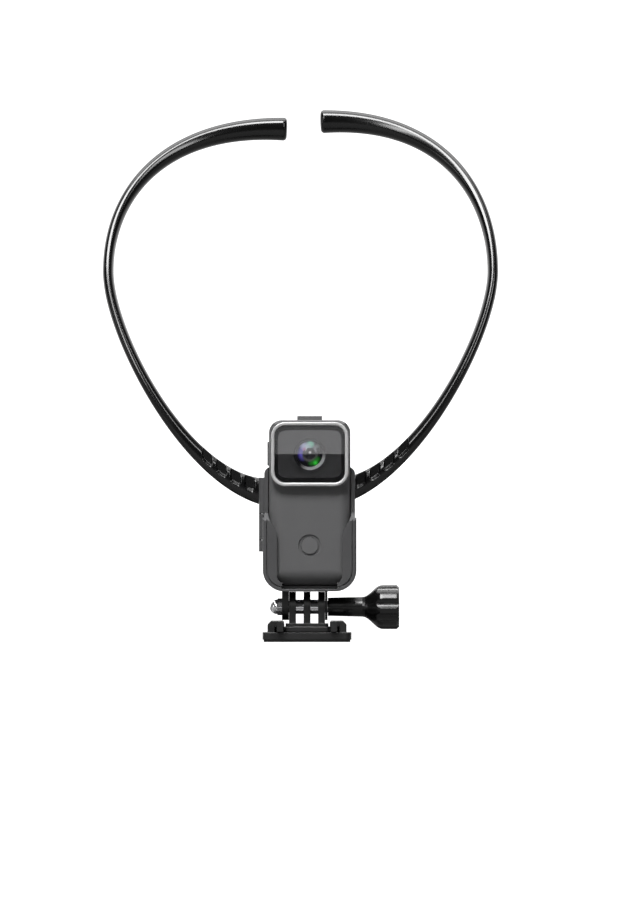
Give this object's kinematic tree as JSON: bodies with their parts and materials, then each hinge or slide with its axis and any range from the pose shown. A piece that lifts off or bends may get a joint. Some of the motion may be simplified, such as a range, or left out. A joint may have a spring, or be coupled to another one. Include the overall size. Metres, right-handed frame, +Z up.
{
  "type": "neck-mounted action camera",
  "caption": "Small upright action camera in an open-front cradle, clamped on a U-shaped neck band that opens at the back, with a tilting pronged mount and slide-on base.",
  "frame": {"origin": "centre of the neck opening, in the middle plane of the clamped band", "axes": "+Z up towards the back of the neck, lens faces -Y, +X to the right seen from the front"},
  "size_m": [0.1672, 0.0979, 0.2247],
  "materials": {
    "body_plastic": "fine matt texture",
    "gasket_rubber": "soft matt",
    "small_steel": "bright steel",
    "trim_metal": "satin silver, chamfered",
    "window_glass": "dark, clear, polished",
    "mask_black": "matt black print",
    "bezel_grey": "satin grey",
    "lens_glass": "coated, violet to green",
    "board_green": "solder mask",
    "sensor_dark": "glossy dark",
    "battery_foil": "foil wrapped",
    "part_black": "moulded black",
    "light_pipe": "milky clear",
    "button_grey": "fine matt",
    "cradle_plastic": "satin dark grey",
    "mount_black": "semi-gloss black",
    "chrome_hardware": "polished",
    "band_silicone": "glossy black silicone",
    "pad_foam": "dark foam tape"
  },
  "bodies": {
    "hub": {"cradle_shell": "cradle_plastic", "ear_bracket": "mount_black", "bracket_screws": "small_steel", "acorn_nut": "chrome_hardware", "clamp_hinge_pin": "small_steel", "neck_band_centre": "band_silicone", "neck_core_centre": "small_steel"},
    "arm_left": {"left_arm": "band_silicone", "left_arm_core": "small_steel"},
    "arm_right": {"right_arm": "band_silicone", "right_arm_core": "small_steel"},
    "door": {"clamp_door": "cradle_plastic", "clamp_pad": "gasket_rubber"},
    "camera": {"camera_housing": "body_plastic", "camera_rear_cover": "body_plastic", "case_gasket": "gasket_rubber", "case_screws": "small_steel", "lens_trim_ring": "trim_metal", "lens_window": "window_glass", "lens_mask": "mask_black", "lens_baffle": "mask_black", "lens_bezel": "bezel_grey", "lens_front_element": "lens_glass", "lens_barrel": "mask_black", "lens_middle_element": "lens_glass", "lens_rear_element": "lens_glass", "image_sensor": "sensor_dark", "sensor_board": "board_green", "main_board": "board_green", "battery": "battery_foil", "heat_plate": "small_steel", "button_switches": "part_black", "speaker": "part_black", "microphone": "part_black", "charging_socket": "small_steel", "card_socket": "small_steel", "status_light": "light_pipe"},
    "front_key": {"front_button": "button_grey"},
    "top_key": {"top_button": "body_plastic"},
    "side_key": {"side_button": "body_plastic"},
    "tilt_buckle": {"buckle": "mount_black", "spacer_sleeves": "chrome_hardware"},
    "screw": {"thumb_knob": "mount_black", "clamp_bolt": "chrome_hardware"},
    "base": {"base_plate": "mount_black", "adhesive_pad": "pad_foam"},
    "finger_left": {"release_finger_left": "mount_black"},
    "finger_right": {"release_finger_right": "mount_black"}
  },
  "joints": [
    {"name": "left_arm_flex", "type": "hinge", "parent": "hub", "child": "arm_left", "pos_m": [-0.014, 0, -0.0772], "axis": [0, -1, 0], "range_deg": [-2, 30]},
    {"name": "right_arm_flex", "type": "hinge", "parent": "hub", "child": "arm_right", "pos_m": [0.014, 0, -0.0772], "axis": [0, 1, 0], "range_deg": [-2, 30]},
    {"name": "clamp_door_swing", "type": "hinge", "parent": "hub", "child": "door", "pos_m": [-0.01555, -0.0052, -0.0923], "axis": [0, 0, 1], "range_deg": [0, 90]},
    {"name": "camera_slide", "type": "slide", "parent": "hub", "child": "camera", "axis": [0, 0, 1], "range_m": [0, 0.055]},
    {"name": "front_button_press", "type": "slide", "parent": "camera", "child": "front_key", "axis": [0, 1, 0], "range_m": [0, 0.0006], "stiffness_N_per_m": 1500, "springref_m": -0.0004},
    {"name": "top_button_press", "type": "slide", "parent": "camera", "child": "top_key", "axis": [0, 0, -1], "range_m": [0, 0.0008], "stiffness_N_per_m": 1500, "springref_m": -0.0004},
    {"name": "side_button_press", "type": "slide", "parent": "camera", "child": "side_key", "axis": [1, 0, 0], "range_m": [0, 0.0005], "stiffness_N_per_m": 1500, "springref_m": -0.0004},
    {"name": "mount_tilt", "type": "hinge", "parent": "hub", "child": "tilt_buckle", "pos_m": [0.00275, -0.0174, -0.12534], "axis": [1, 0, 0], "range_deg": [-40, 40]},
    {"name": "thumb_screw_turn", "type": "hinge", "parent": "hub", "child": "screw", "pos_m": [0.00275, -0.0174, -0.12534], "axis": [1, 0, 0], "continuous": true},
    {"name": "base_slide", "type": "slide", "parent": "tilt_buckle", "child": "base", "axis": [0, 1, 0], "range_m": [0, 0.042]},
    {"name": "left_finger_pinch", "type": "hinge", "parent": "tilt_buckle", "child": "finger_left", "pos_m": [-0.00855, -0.0224, -0.1347], "axis": [0, 0, 1], "range_deg": [0, 4], "stiffness_Nm_per_rad": 0.8, "springref_deg": -1.15},
    {"name": "right_finger_pinch", "type": "hinge", "parent": "tilt_buckle", "child": "finger_right", "pos_m": [0.01405, -0.0224, -0.1347], "axis": [0, 0, -1], "range_deg": [0, 4], "stiffness_Nm_per_rad": 0.8, "springref_deg": -1.15}
  ]
}
